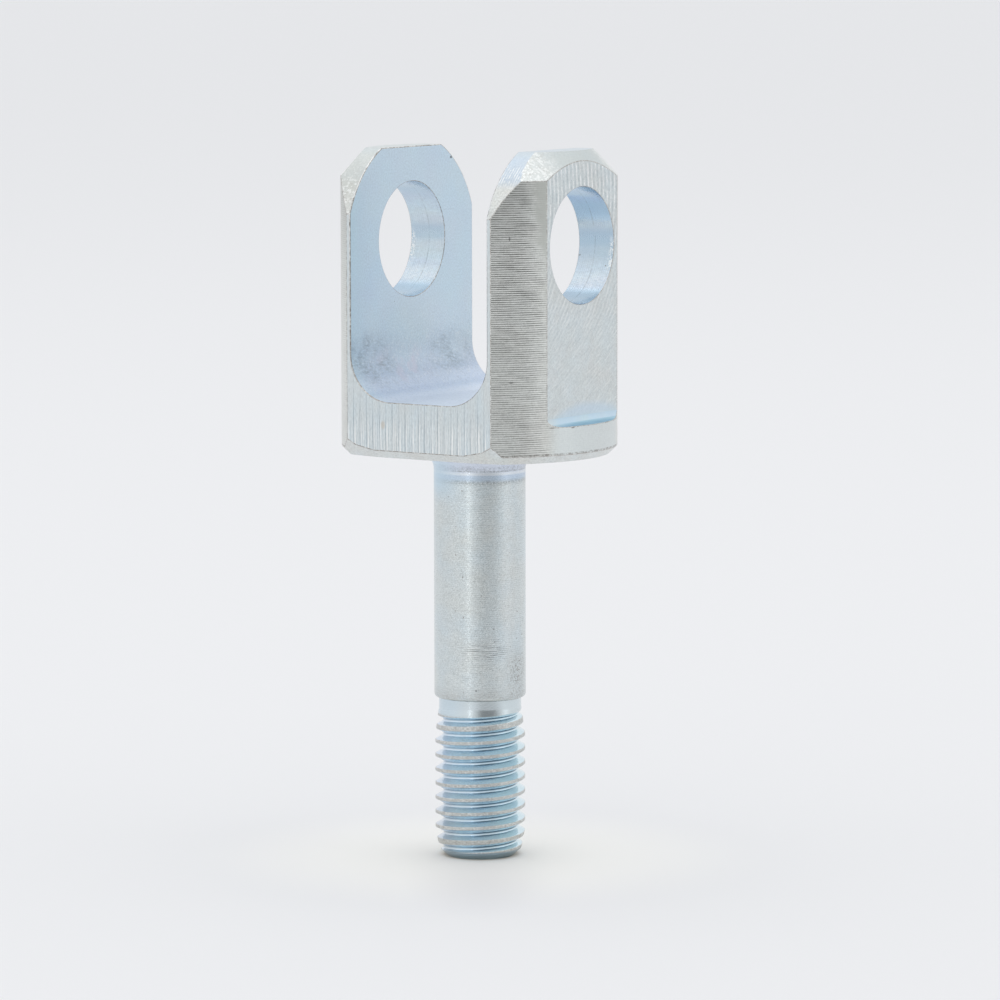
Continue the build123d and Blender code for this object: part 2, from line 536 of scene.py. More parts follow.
def threaded_rod(shank, columns, finish):
    """The neck and thread as one helical skin, from inside the shank to below the end face."""
    profile = thread_profile(shank, finish)
    top, bottom = -shank.end + shank.shoulder_radius * 2, -shank.thread_end - shank.pitch
    turns = ceil((top - bottom) / shank.pitch) + 2
    start = -shank.first_crest + shank.pitch * ceil((top + shank.first_crest) / shank.pitch + 1)
    points, rows = [], turns * len(profile)
    for row in range(rows):
        along, radius = profile[row % len(profile)]
        level = start - (row // len(profile)) * shank.pitch - along
        for column in range(columns):
            angle = tau * column / columns
            height = level + shank.pitch * column / columns
            reach = formed_radius(shank, radius, height)
            points.append((reach * cos(angle), reach * sin(angle), height))
    faces = []
    for row in range(rows - 1):
        for column in range(columns):
            beside = (column + 1) % columns
            upper = row + (0 if beside else -len(profile))
            if upper >= 0:
                faces.append([
                    row * columns + column,
                    (row + 1) * columns + column,
                    (upper + 1) * columns + beside,
                    upper * columns + beside,
                ])
    return points, faces


def make_thread(shank, columns, finish):
    """The threaded rod, cut to length and closed, with its end chamfer."""
    points, faces = threaded_rod(shank, columns, finish)
    build = bmesh.new()
    corners = [build.verts.new(point) for point in points]
    for face in faces:
        build.faces.new([corners[index] for index in face])
    for height, outward in ((-shank.end + shank.shoulder_radius * 2, 1), (-shank.thread_end, -1)):
        everything = build.verts[:] + build.edges[:] + build.faces[:]
        bmesh.ops.bisect_plane(
            build, geom=everything, plane_co=(0, 0, height), plane_no=(0, 0, outward), clear_outer=True
        )
        rim = [edge for edge in build.edges if edge.is_boundary
               and all(abs(corner.co.z - height) < ON_PLANE for corner in edge.verts)]
        bmesh.ops.contextual_create(build, geom=rim)
    bmesh.ops.recalc_face_normals(build, faces=build.faces)
    rod = object_of(build, "thread", [finish])
    wide, below = shank.crest_radius + 1, -1 - shank.thread_end
    envelope = [
        (0, 0, finish),
        (wide, 0, finish),
        (wide, shank.end_chamfer + 1 - shank.thread_end, finish),
        (shank.crest_radius - shank.end_chamfer - 1, below, finish),
        (0, below, finish),
    ]
    combine(rod, lathe("end_chamfer", envelope, columns), "INTERSECT")
    return rod


def head_part(items, head):
    """The points or edges that belong to the head."""
    limit = -head.base_depth - MM
    return [item for item in items
            if all(corner.co.z > limit for corner in getattr(item, "verts", (item,)))]


def merge_points(body, head, head_distance, other_distance):
    """Merges points that almost coincide, on the head and elsewhere, and flat neighbours."""
    build = bmesh.new()
    build.from_mesh(body.data)
    bmesh.ops.remove_doubles(build, verts=head_part(build.verts, head), dist=head_distance)
    bmesh.ops.remove_doubles(build, verts=build.verts, dist=other_distance)
    bmesh.ops.dissolve_limit(
        build, angle_limit=FLAT_BELOW, verts=head_part(build.verts, head),
        edges=head_part(build.edges, head), delimit={"MATERIAL"},
    )
    build.to_mesh(body.data)
    build.free()


def edge_weight(edge, regions, sizes):
    """How wide an edge is broken: 1 along the slot, less elsewhere, and 0 where it stays."""
    sides = {regions[face.material_index] for face in edge.link_faces}
    turn = edge.calc_face_angle(0)
    if "thread" in sides:
        edge.smooth = turn < THREAD_SMOOTH_BELOW
        return 0.0
    edge.smooth = turn < SMOOTH_BELOW
    if turn < UNBROKEN_BELOW or len(sides) == 1 or sides in SOFT_PAIRS:
        return 0.0
    return 1.0 if "slot" in sides and "bore" not in sides else sizes.edge_break / sizes.slot_break


def break_edges(body, sizes, head, finish):
    """Breaks the sharp edges of the head and shank with a small round."""
    merge_points(body, head, sizes.head_weld, sizes.thread_weld)
    materials = body.data.materials
    regions = {materials.find(material.name): region for region, material in finish.items()}
    build = bmesh.new()
    build.from_mesh(body.data)
    weight = build.edges.layers.float.new("bevel_weight_edge")
    for edge in build.edges:
        if edge.is_manifold:
            edge[weight] = edge_weight(edge, regions, sizes)
    build.to_mesh(body.data)
    build.free()
    body.data.materials.append(finish["edge"])
    bevel = body.modifiers.new("break", "BEVEL")
    bevel.limit_method = "WEIGHT"
    bevel.width = sizes.slot_break
    bevel.segments = 2
    bevel.use_clamp_overlap = False
    bevel.material = len(body.data.materials) - 1
    apply_modifiers(body)
    merge_points(body, head, sizes.sliver_weld, sizes.thread_weld)
    for polygon in body.data.polygons:
        polygon.use_smooth = True
    even = body.modifiers.new("even_normals", "WEIGHTED_NORMAL")
    even.weight = 100
    even.keep_sharp = True
    apply_modifiers(body)


def place_in_frame(body):
    """Scales the piece from millimetres to the frame's metres and lets it stand for its node."""
    body.data.transform(Matrix.Scale(MM, 4))
    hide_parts(NODE)
    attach(body, BODY)


# ---------------------------------------------------------------- shader helpers


class Field:
    """A node's output, with the usual signs for sums on values that change over a surface."""

    def __init__(self, graph, socket):
        self.graph, self.socket = graph, socket

    def __add__(self, other):
        return self.graph.math("ADD", self, other)

    def __sub__(self, other):
        return self.graph.math("SUBTRACT", self, other)

    def __rsub__(self, other):
        return self.graph.math("SUBTRACT", other, self)

    def __mul__(self, other):
        return self.graph.math("MULTIPLY", self, other)

    def __truediv__(self, other):
        return self.graph.math("DIVIDE", self, other)

    def __rtruediv__(self, other):
        return self.graph.math("DIVIDE", other, self)

    def __abs__(self):
        return self.graph.math("ABSOLUTE", self)

    def ramp(self, low, high, to=(0.0, 1.0), smooth=True):
        """Maps the value from one range to another, held at the ends, smoothly or in a line."""
        inputs = {"Value": self, "From Min": low, "From Max": high, "To Min": to[0], "To Max": to[1]}
        kind = "SMOOTHSTEP" if smooth else "LINEAR"
        return self.graph.result("ShaderNodeMapRange", inputs, interpolation_type=kind)

    def band(self, middle, core, reach):
        """A mask that is full within core of the middle and gone at reach."""
        return abs(self - middle).ramp(core, reach, to=(1.0, 0.0))


class Graph:
    """A node tree, with short ways to add nodes and join them."""

    def __init__(self, tree):
        self.tree = tree

    def put(self, socket, value):
        """Links a socket to another node's output, or sets its value."""
        if isinstance(value, Field):
            self.tree.links.new(value.socket, socket)
        else:
            socket.default_value = value

    def node(self, kind, inputs=None, **settings):
        """Adds a node with its settings and inputs."""
        made = self.tree.nodes.new(kind)
        for name, value in settings.items():
            setattr(made, name, value)
        for key, value in (inputs or {}).items():
            self.put(made.inputs[key], value)
        return made

    def result(self, kind, inputs=None, output=0, **settings):
        """Adds a node and returns one of its outputs, the first if none is named."""
        return Field(self, self.node(kind, inputs, **settings).outputs[output])

    def results(self, kind, inputs=None, **settings):
        """Adds a node and returns its outputs by name."""
        return {socket.name: Field(self, socket) for socket in self.node(kind, inputs, **settings).outputs}

    def math(self, operation, *values, clamp=False):
        """The result of a sum on numbers or fields."""
        return self.result("ShaderNodeMath", dict(enumerate(values)), operation=operation, use_clamp=clamp)

    def vectors(self, operation, *values, output=0, **inputs):
        """The result of a sum on vectors."""
        inputs = {**dict(enumerate(values)), **inputs}
        return self.result("ShaderNodeVectorMath", inputs, output, operation=operation)

    def blend(self, factor, first, second, mode="MIX"):
        """Mixes two colours."""
        sockets = {0: factor, 6: first, 7: second}
        return self.result("ShaderNodeMix", sockets, 2, data_type="RGBA", blend_type=mode)

    def vector(self, x, y, z=0.0):
        """A vector from three numbers or fields."""
        return self.result("ShaderNodeCombineXYZ", {"X": x, "Y": y, "Z": z})

    def length(self, first, second):
        """The length of two sides at a right angle."""
        return self.math("SQRT", first * first + second * second)

    def noise(self, where, scale, detail=2.0, roughness=0.5):
        """Smooth noise from 0 to 1 at a place."""
        inputs = {"Vector": where, "Scale": scale, "Detail": detail, "Roughness": roughness}
        return self.result("ShaderNodeTexNoise", inputs, "Fac")

    def group(self, name, inputs=None):
        """Places one of the shared node groups and returns its outputs by name."""
        return self.results("ShaderNodeGroup", inputs, node_tree=bpy.data.node_groups[name])


def opaque(rgb):
    """A colour with full alpha, as the sockets take it."""
    return (*rgb, 1.0)


def titled(inputs):
    """Keyword names as socket names: streak_length becomes Streak Length."""
    return {key.replace("_", " ").title(): value for key, value in inputs.items()}


SOCKET_KINDS = {1: "NodeSocketFloat", 3: "NodeSocketVector", 4: "NodeSocketColor"}
OUTPUT_SIZES = {"Position": 3, "Color": 4}
ORIGIN = (0.0, 0.0, 0.0)


def new_group(name, inputs, outputs):
    """A shader node group with named inputs and outputs: its graph, inputs and output sockets."""
    tree = bpy.data.node_groups.new(name, "ShaderNodeTree")
    for label, default in inputs.items():
        size = 1 if isinstance(default, float) else len(default)
        socket = tree.interface.new_socket(label, in_out="INPUT", socket_type=SOCKET_KINDS[size])
        socket.default_value = default
    for label in outputs:
        kind = SOCKET_KINDS[OUTPUT_SIZES.get(label, 1)]
        tree.interface.new_socket(label, in_out="OUTPUT", socket_type=kind)
    graph = Graph(tree)
    return graph, graph.results("NodeGroupInput"), graph.node("NodeGroupOutput").inputs


def part_position_group():
    """Where a point lies on the part, in millimetres: place, run round the head, and radius."""
    graph, _, out = new_group("Part Position", {}, ("Position", "X", "Y", "Z", "Around", "Radius"))
    place = graph.result("ShaderNodeTexCoord", output="Object")
    scaled = graph.vectors("SCALE", place, Scale=1 / MM)
    split = graph.results("ShaderNodeSeparateXYZ", {0: scaled})
    radius = graph.length(split["X"], split["Y"])
    around = graph.math("ARCTAN2", split["Y"], split["X"]) * radius
    for label, value in {"Position": scaled, **split, "Around": around, "Radius": radius}.items():
        graph.put(out[label], value)


def tool_marks_group():
    """Feed marks of a cutter: dark grooves with a bright flank, uneven from one to the next. The finishes
    use the masks for painted shade in the grooves and painted highlights on the flanks.
    """
    graph, given, out = new_group(
        "Tool Marks",
        {"Across": 0.0, "Along": 0.0, "Pitch": 0.2, "Depth": 0.01, "Width": 0.5, "Shine Width": 0.4,
         "Shine Offset": 0.5, "Wander": 0.3, "Unevenness": 0.5, "Streak Length": 4.0, "Strength": 1.0},
        ("Height", "Groove", "Shine"),
    )
    steps = given["Across"] / given["Pitch"]
    run = given["Along"] / given["Streak Length"]
    slow = graph.noise(graph.vector(steps * 0.15, run), 1.0)
    phase = steps + (slow - 0.5) * given["Wander"]

    def line(shift, width, seed):
        """One line in every pitch, shifted sideways: its mask with uneven strength."""
        moved = phase - shift
        cell = graph.math("ROUND", moved)
        shape = abs(moved - cell).ramp(0.0, width * 0.5, to=(1.0, 0.0))
        patch = graph.noise(graph.vector(cell * 7.31, run, seed), 1.0, detail=4.0, roughness=0.62)
        weak = patch.ramp(0.38, 0.62) * given["Unevenness"]
        return shape * ((1.0 - weak) * given["Strength"])

    groove = line(0.0, given["Width"], 0.0)
    shine = line(given["Shine Offset"], given["Shine Width"], 5.0)
    graph.put(out["Height"], (shine * 0.5 - groove) * given["Depth"])
    graph.put(out["Groove"], groove)
    graph.put(out["Shine"], shine)


def plating_grain_group():
    """Fine crystals of the plating: a height, and a tone that differs from grain to grain."""
    graph, given, out = new_group(
        "Plating Grain", {"Position": ORIGIN, "Size": 0.12, "Depth": 0.002}, ("Height", "Glint")
    )
    scale = 1.0 / given["Size"]
    cells = graph.results("ShaderNodeTexVoronoi", {"Vector": given["Position"], "Scale": scale})
    rough = graph.noise(given["Position"], scale * 0.7, detail=4.0, roughness=0.65)
    graph.put(out["Height"], (cells["Distance"] + rough) * given["Depth"])
    graph.put(out["Glint"], graph.result("ShaderNodeSeparateColor", {0: cells["Color"]}))


def specks_group():
    """Sparse dark pits and specks of dirt with ragged outlines."""
    graph, given, out = new_group(
        "Specks", {"Position": ORIGIN, "Spacing": 1.0, "Size": 0.15, "Share": 0.5}, ("Mask",)
    )
    ragged = graph.noise(given["Position"], 9.0, detail=3.0)
    inputs = {"Vector": given["Position"], "Scale": 1.0 / given["Spacing"]}
    cells = graph.results("ShaderNodeTexVoronoi", inputs)
    tones = graph.results("ShaderNodeSeparateColor", {0: cells["Color"]})
    chosen = graph.math("LESS_THAN", tones["Red"], given["Share"])
    reach = cells["Distance"] * given["Spacing"] + (ragged - 0.5) * given["Size"]
    radius = given["Size"] * (tones["Green"] * 0.8 + 0.2)
    graph.put(out["Mask"], reach.ramp(radius * 0.5, radius, to=(1.0, 0.0)) * chosen)


def spot_group():
    """One soft spot round a place, as wide along each axis as its size."""
    inputs = {"Position": ORIGIN, "Place": ORIGIN, "Size": (1.0, 1.0, 1.0), "Core": 0.3}
    graph, given, out = new_group("Spot", inputs, ("Mask",))
    away = graph.vectors("SUBTRACT", given["Position"], given["Place"])
    away = graph.vectors("DIVIDE", away, given["Size"])
    reach = graph.vectors("LENGTH", away, output="Value")
    graph.put(out["Mask"], reach.ramp(given["Core"], 1.0, to=(1.0, 0.0)))


def edge_line_group():
    """A thin ragged line beside an edge, such as a burr or dirt that the cutter left there."""
    graph, given, out = new_group(
        "Edge Line",
        {"Distance": 0.0, "Position": ORIGIN, "Width": 0.12, "Break Length": 0.3, "Cover": 0.8},
        ("Mask",),
    )
    scale = 1.0 / given["Break Length"]
    slow = graph.noise(given["Position"], scale, detail=5.0, roughness=0.8)
    low = 0.68 - given["Cover"] * 0.36
    present = slow.ramp(low, low + 0.2)
    sway = (graph.noise(given["Position"], scale * 0.6) - 0.5) * given["Width"]
    near = abs(given["Distance"] + sway).ramp(given["Width"] * 0.25, given["Width"], to=(1.0, 0.0))
    graph.put(out["Mask"], near * present)


def passivation_group():
    """Colour of plated steel: a ground that shifts softly towards two tints, finely mottled."""
    graph, given, out = new_group(
        "Passivation",
        {"Position": ORIGIN, "Ground": (0.7, 0.7, 0.7, 1.0), "Tint": (0.5, 0.6, 0.7, 1.0),
         "Tint Share": 0.3, "Shade": (0.6, 0.6, 0.7, 1.0), "Shade Share": 0.1, "Swing": 1.0,
         "Patch Size": 4.0, "Stretch": (1.0, 1.0, 1.0), "Mottle": 0.1, "Mottle Size": 0.15},
        ("Color",),
    )
    stretched = graph.vectors("MULTIPLY", given["Position"], given["Stretch"])
    scale = 1.0 / given["Patch Size"]

    def share(offset, middle):
        """How much of a tint shows: its share, more in some patches and less in others."""
        field = graph.noise(graph.vectors("ADD", stretched, offset), scale, detail=3.0)
        return graph.math("ADD", middle, (field - 0.5) * given["Swing"], clamp=True)

    mixed = graph.blend(share(ORIGIN, given["Tint Share"]), given["Ground"], given["Tint"])
    mixed = graph.blend(share((31, 7, 2), given["Shade Share"]), mixed, given["Shade"])
    fine = graph.noise(stretched, 1.0 / given["Mottle Size"], detail=3.0, roughness=0.6)
    fine = (fine - 0.5) * given["Mottle"] + 1.0
    graph.put(out["Color"], graph.vectors("SCALE", mixed, Scale=fine))


def make_groups():
    """Builds every shared node group, once."""
    if "Spot" in bpy.data.node_groups:
        return
    for make in (part_position_group, tool_marks_group, plating_grain_group, specks_group, spot_group,
                 edge_line_group, passivation_group):
        make()


# ---------------------------------------------------------------- materials

# Places, sizes and distances are in millimetres from the bore's centre. Each finish starts from
# the colour of its plating, and tints are laid over it one after the other.


class Finish:
    """A plated metal material in the making: its colour, heights and roughness."""

    def __init__(self, name, ground, tint, shade, roughness, **passivation):
        self.material = bpy.data.materials.new(name)
        self.material.use_nodes = True
        self.material.node_tree.nodes.clear()
        self.graph = Graph(self.material.node_tree)
        place = self.graph.group("Part Position")
        self.x, self.y, self.z = (place[axis] for axis in "XYZ")
        self.position, self.around, self.radius = place["Position"], place["Around"], place["Radius"]
        inputs = {
            "Position": self.position, "Ground": opaque(ground),
            "Tint": opaque(tint[0]), "Tint Share": tint[1],
            "Shade": opaque(shade[0]), "Shade Share": shade[1],
        }
        self.colour = self.graph.group("Passivation", {**inputs, **titled(passivation)})["Color"]
        self.roughness = roughness
        self.heights = []

    def marks(self, across, along, **inputs):
        """Adds tool marks and returns the masks of their grooves and bright flanks."""
        made = self.graph.group("Tool Marks", {"Across": across, "Along": along, **titled(inputs)})
        self.heights.append(made["Height"])
        return made["Groove"], made["Shine"]

    def grain(self, size, depth):
        """Adds the plating's crystals and returns their glint."""
        inputs = {"Position": self.position, "Size": size, "Depth": depth}
        made = self.graph.group("Plating Grain", inputs)
        self.heights.append(made["Height"])
        return made["Glint"]

    def tint(self, mask, share, shade):
        """Turns the colour towards a shade by a mask."""
        self.colour = self.graph.blend(mask * share, self.colour, opaque(shade))

    def specks(self, share_of_tint, shade, **inputs):
        """Scatters sparse specks of a shade."""
        made = self.graph.group("Specks", {"Position": self.position, **titled(inputs)})
        self.tint(made["Mask"], share_of_tint, shade)

    def near(self, where, size, core=0.3):
        """A soft mask round a place, as wide along each axis as its size."""
        inputs = {"Position": self.position, "Place": where, "Size": size, "Core": core}
        return self.graph.group("Spot", inputs)["Mask"]

    def spot(self, where, size, share, shade):
        """One small spot or pit of a shade."""
        self.tint(self.near(where, size), share, shade)

    def edge_line(self, distance, share_of_tint, shade, **inputs):
        """Draws a ragged line where a distance is zero."""
        inputs = {"Distance": distance, "Position": self.position, **titled(inputs)}
        self.tint(self.graph.group("Edge Line", inputs)["Mask"], share_of_tint, shade)

    def by_ear(self, left, right):
        """One value over the left ear, which is on the -X side, and another over the right."""
        return self.x.ramp(-1.0, 1.0, to=(left, right))

    def noise(self, scale, **settings):
        """Smooth noise over the part, from 0 to 1."""
        return self.graph.noise(self.position, scale, **settings)

    def clouds(self, size, low, high, **settings):
        """A mask of soft clouds of a size, between two levels of noise."""
        return self.noise(1 / size, **settings).ramp(low, high)

    def finished(self):
        """Joins everything to a metal shader and returns the material."""
        shader = self.graph.node("ShaderNodeBsdfPrincipled", {
            "Base Color": self.colour, "Metallic": 1.0, "Roughness": self.roughness,
        })
        if self.heights:
            inputs = {"Height": sum(self.heights[1:], self.heights[0]), "Distance": MM, "Strength": 1.0}
            self.graph.put(shader.inputs["Normal"], self.graph.result("ShaderNodeBump", inputs))
        surface = Field(self.graph, shader.outputs["BSDF"])
        self.graph.node("ShaderNodeOutputMaterial", {"Surface": surface})
        return self.material


def turned_round(looks, sizes):
    """The head's round: fine circumferential feed marks that fade towards the outer flats, with painted
    shade and highlights on the marks and painted shade towards the top.
    """
    finish = Finish(
        "turned_round", ground=looks.bright_olive, tint=(looks.olive, 0.3), shade=(looks.warm, 0.1),
        roughness=0.32, patch_size=3.0, mottle=0.6, mottle_size=0.2,
    )
    graph, z, head = finish.graph, finish.z, sizes.head
    side, ear_half = abs(finish.x), head.ear_span / 2
    worn_from = z.ramp(4.0, -8.0, to=(9.9, 10.7))
    past_worn = side + finish.noise(0.8, detail=3.0) - worn_from
    deep = past_worn.ramp(-0.1, 1.1, to=(1.0, 0.25)) * finish.by_ear(0.35, 1.0)
    ring = side.ramp(ear_half - 0.1, ear_half + 0.6)
    deep = deep * z.ramp(2.0, -14.0, to=(1.0, 0.62)) * (1.0 - ring * 0.65)
    groove, shine = finish.marks(
        z, finish.around, pitch=0.1841, depth=0.012, width=0.8, shine_width=0.7,
        wander=0.35, unevenness=0.6, streak_length=2.2, strength=deep,
    )
    # Painted highlights on the marks' bright flanks and painted shade in their grooves.
    finish.tint(shine, 1.0, looks.bright)
    finish.tint(groove, 1.0, looks.groove)
    faint = deep.ramp(0.6, 0.2)
    finish.tint(faint, z.ramp(0.0, -8.0, to=(0.85, 0.2)), looks.worn_olive)
    # Painted shade: darker on the upper round where the marks are faint.
    finish.tint(faint * z.ramp(-2.0, 2.0), 0.12, looks.groove)
    slanted = graph.vector(finish.around * 0.5 + z * 0.5, z)
    chatter = graph.noise(slanted, 0.9, detail=3.0).ramp(0.5, 0.7)
    finish.tint(chatter * deep, 0.16, looks.groove)
    # Painted shade: darker towards the tips where the marks are deep.
    tip_shade = z.ramp(-1.0, 6.0)
    finish.tint(tip_shade * deep, 0.26, looks.groove)
    finish.tint(ring, 0.55, looks.zinc)
    above_ring = z + (head.base_depth - head.ring_height)
    ring_edge = abs(above_ring) + side.ramp(10.8, 10.5)
    finish.edge_line(ring_edge, 0.7, looks.burr, width=0.12, cover=0.7)
    flat_edge = abs(side - ear_half) + above_ring.ramp(0.1, -0.1)
    finish.edge_line(flat_edge, 0.4, looks.burr, width=0.08, cover=0.6)
    finish.grain(size=0.12, depth=0.003)
    finish.specks(0.7, looks.dirt, spacing=2.2, size=0.14, share=0.2)
    finish.spot((8.68, -8.29, 0.94), size=(0.09, 0.09, 0.26), share=0.7, shade=looks.dirt)
    finish.spot((8.75, -8.21, -11.27), size=(0.3, 0.3, 0.10), share=0.7, shade=looks.dirt)
    finish.spot((11.62, -2.99, -15.34), size=(0.2, 0.3, 0.1), share=0.7, shade=looks.burr)
    rim = z + (head.base_depth - head.base_chamfer - 0.1)
    finish.edge_line(rim, 0.75, looks.burr, width=0.12, cover=0.75)
    return finish.finished()


def milled_flat(looks, sizes):
    """Front and back flats, with upright milling grooves that fade towards the tips."""
    finish = Finish(
        "milled_flat", ground=looks.zinc, tint=(looks.blue, 0.06), shade=(looks.warm, 0.16),
        roughness=0.32, patch_size=2.0, stretch=(2, 1, 0.5), mottle=0.6, mottle_size=0.2, swing=0.8,
    )
    x, z, head = finish.x, finish.z, sizes.head
    low = z.ramp(-head.slot_depth + 1.5, -head.base_depth + 2.5, to=(0.25, 1.0))
    lowest = z.ramp(-head.slot_depth - 0.9, -head.base_depth + 2.0)
    groove, shine = finish.marks(
        x, z, pitch=0.677, depth=0.005, width=0.2, shine_width=0.3, shine_offset=0.2,
        wander=0.25, unevenness=0.6, streak_length=4.0, strength=low,
    )
    # Painted highlights on the marks' bright flanks, only low on the flats, and painted shade in their
    # grooves.
    finish.tint(shine * lowest, 0.95, looks.bright)
    finish.tint(groove, 0.75, looks.blue_groove)
    groove, shine = finish.marks(
        x, z, pitch=0.282, depth=0.003, width=0.4, shine_width=0.4,
        wander=1.2, unevenness=1.0, streak_length=2.5, strength=low,
    )
    # The same painted highlights and shade for the finer marks.
    finish.tint(shine * lowest, 0.6, looks.bright)
    finish.tint(groove, 0.32, looks.blue_groove)
    finish.grain(size=0.13, depth=0.003)
    finish.specks(0.6, looks.dirt, spacing=1.6, size=0.13, share=0.25)
    finish.spot((-3.68, -9.4, -15.41), size=(0.3, 0.3, 0.5), share=0.45, shade=looks.rust)
    return finish.finished()


def slot_wall(looks, sizes):
    """Slot walls and floor: smooth, pale blue, lavender towards the floor, with smudges, painted shade on
    the walls and painted light on the floor.
    """
    finish = Finish(
        "slot_wall", ground=looks.blue, tint=(looks.zinc, 0.2), shade=(looks.lavender, 0.1),
        roughness=0.3, patch_size=4.0, mottle=0.45, mottle_size=0.16, swing=0.7,
    )
    graph, y, z = finish.graph, finish.y, finish.z
    floor_z, left_wall = -sizes.head.slot_depth, -sizes.head.slot_width / 2
    low = z.ramp(floor_z + 5.5, floor_z + 1.0)
    finish.tint(low, 0.5, looks.lavender)
    finish.tint(low, 0.1, looks.deep_blue)
    front_edge = y.ramp(-7.0, -9.2)
    finish.tint(front_edge, 0.3, looks.pale_teal)
    # Painted shade: a dim belt across the walls and a dim patch on the -X wall.
    dim_belt = z.band(-9.8, core=0.6, reach=3.2)
    finish.tint(dim_belt, 0.10, looks.blue_groove)
    dim_patch = finish.near((left_wall, -1.5, -8.0), size=(2.5, 6.5, 4.0))
    finish.tint(dim_patch, 0.11, looks.blue_groove)
    # Painted light: the floor and a band just above it paler lavender.
    floor = z.ramp(floor_z + 0.7, floor_z)
    finish.tint(floor, 0.9, looks.bright_lavender)
    floor_edge = z.band(floor_z + 1.15, core=0.2, reach=0.9)
    finish.tint(floor_edge, 0.35, looks.bright_lavender)
    finish.roughness = z.ramp(floor_z + 3.0, floor_z + 0.8, to=(0.3, 0.62))
    glint = finish.grain(size=0.12, depth=0.0025)
    grainy = z.ramp(-5.0, -10.0, to=(0.15, 1.0))
    finish.tint(glint.ramp(0.80, 0.90) * grainy, 0.20, looks.bright)
    finish.tint(glint.ramp(0.20, 0.10) * grainy, 0.14, looks.blue_groove)
    leaning = graph.vector(z * 0.5 + y * 0.45, z)
    hatch = graph.noise(leaning, 3.8, detail=8.0, roughness=0.85).ramp(0.38, 0.66)
    hatch = hatch * (finish.clouds(2.2, 0.38, 0.62, detail=4.0, roughness=0.6) * 0.75 + 0.25)
    smudges = ((-6.8, -9.9, 5.0, 2.8, 0.9), (-5.4, -11.6, 4.0, 1.9, 0.6), (5.8, -10.2, 5.0, 2.5, 0.85),
               (0.0, -11.7, 7.0, 1.6, 0.3))
    for across, height, wide, tall, share in smudges:
        mask = finish.near((left_wall, across, height), size=(2.5, wide, tall))
        finish.tint(mask * hatch, share, looks.blue_groove)
    rosy = finish.near((left_wall, -2.0, -11.0), size=(2.5, 6.0, 2.4))
    finish.tint(rosy * finish.clouds(1.6, 0.45, 0.65), 0.35, looks.lilac)
    finish.specks(0.5, looks.dirt, spacing=0.9, size=0.10, share=0.12)
    finish.spot((left_wall, 6.05, 6.89), size=(0.16, 0.22, 0.16), share=0.9, shade=looks.dirt)
    return finish.finished()


def bore_wall(looks, sizes):
    """The drilled and reamed bore, with a fine ring at mid-depth, and painted shade, reflections and
    glints on its wall.
    """
    finish = Finish(
        "bore_wall", ground=looks.blue, tint=(looks.zinc, 0.3), shade=(looks.lavender, 0.15),
        roughness=0.18, patch_size=1.6, stretch=(0.5, 1, 1), mottle=0.4, mottle_size=0.16, swing=1.4,
    )
    x, z, head = finish.x, finish.z, sizes.head
    ear_half = head.ear_span / 2
    groove, shine = finish.marks(
        x, finish.graph.math("ARCTAN2", finish.y, z), pitch=0.2, depth=0.002, width=0.7,
        wander=0.8, unevenness=1.0, streak_length=0.5,
    )
    # Painted highlights and shade along the reaming marks.
    finish.tint(shine, 0.2, looks.bright)
    finish.tint(groove, 0.15, looks.blue_groove)
    glint = finish.grain(size=0.14, depth=0.005)
    right = finish.by_ear(0.0, 1.0)
    # Painted shade: darker blue grey towards the top and the bottom of the bore. Painted reflection: more
    # olive at mid-height.
    top, bottom, sides = z.ramp(2.6, 4.4), z.ramp(-3.75, -4.3), abs(z).ramp(3.0, 0.5)
    finish.tint(top, 0.44, looks.bore_shade_blue)
    finish.tint(bottom, 0.66, looks.bore_shade_blue)
    finish.tint(sides, 0.25, looks.olive)
    # Painted reflections: dark streaks at mid-height, the wide one on the right ear only, and a pale
    # streak high on the right ear.
    wide_dark_reflection, narrow_dark_reflection = z.band(0.0, core=0.8, reach=2.2), z.band(0.35, core=0.3, reach=1.1)
    finish.tint(wide_dark_reflection * right, 0.45, looks.bore_shade_blue)
    finish.tint(narrow_dark_reflection, 0.5, looks.bore_shade_blue)
    pale_reflection = z.band(2.7, core=0.4, reach=1.3) * right
    finish.tint(pale_reflection, 0.35, looks.bright_lavender)
    finish.tint(pale_reflection, 0.5, looks.pale_teal)
    # Painted shade low in the right ear's bore.
    finish.tint(z.ramp(-3.0, -4.2) * right, 0.12, looks.dirt)
    # Painted highlights: a bright line low in the bore, and glints near the ears' outer faces a little
    # below mid-height.
    low_highlight = z.band(-3.3, core=0.15, reach=0.9) * glint.ramp(0.2, 0.8, to=(0.4, 1.0))
    finish.tint(low_highlight, 0.3, looks.bright)
    edge_glints = glint.ramp(0.5, 0.6) * abs(x).ramp(ear_half - 0.7, ear_half)
    finish.tint(z.band(-1.0, core=0.8, reach=1.8) * edge_glints, 0.9, looks.bright)
    ring = abs(x) - ((head.slot_width + head.ear_span) / 4 - 0.15)
    finish.edge_line(ring, 0.35, looks.dirt, width=0.055, break_length=1.2, cover=0.8)
    finish.specks(0.6, looks.burr, spacing=1.0, size=0.12, share=0.3)
    return finish.finished()


